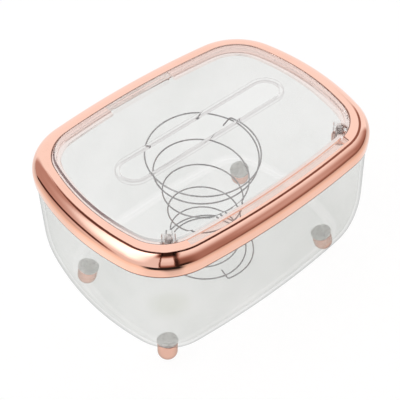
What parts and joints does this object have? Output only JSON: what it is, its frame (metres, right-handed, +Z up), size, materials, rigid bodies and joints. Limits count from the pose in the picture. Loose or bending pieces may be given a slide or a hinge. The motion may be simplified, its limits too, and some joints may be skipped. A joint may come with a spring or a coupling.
{
  "type": "tissue box",
  "caption": "Clear plastic tissue box on short splayed feet, with a rose-gold rim, a crowned clear lid with a long slot, and an hourglass wire spring that lifts the tissues.",
  "frame": {"origin": "on the table under the middle of the box", "axes": "+X along the long side, -Y towards the front long side with the screw bosses, +Z up"},
  "size_m": [0.21, 0.1558, 0.1304],
  "materials": {
    "clear_plastic": "clear, polished",
    "rose_gold": "plated rose gold, mirror bright",
    "steel": "drawn stainless wire",
    "pad_grey": "matt grey"
  },
  "bodies": {
    "tub": {"tub": "clear_plastic", "foot_front_left": "rose_gold", "foot_front_right": "rose_gold", "foot_rear_right": "rose_gold", "foot_rear_left": "rose_gold", "foot_pad_front_left": "pad_grey", "foot_pad_front_right": "pad_grey", "foot_pad_rear_right": "pad_grey", "foot_pad_rear_left": "pad_grey"},
    "cover": {"rim_ring": "rose_gold", "lid_panel": "clear_plastic", "lid_screw_left": "steel", "lid_screw_right": "steel"},
    "spring": {"spring": "steel"}
  },
  "joints": [
    {"name": "cover_lift", "type": "slide", "parent": "tub", "child": "cover", "axis": [0, 0, 1], "range_m": [0, 0.06]},
    {"name": "spring_press", "type": "slide", "parent": "tub", "child": "spring", "axis": [0, 0, -1], "range_m": [0, 0.06], "stiffness_N_per_m": 35, "springref_m": -0.004, "deforming": ["spring"]}
  ]
}
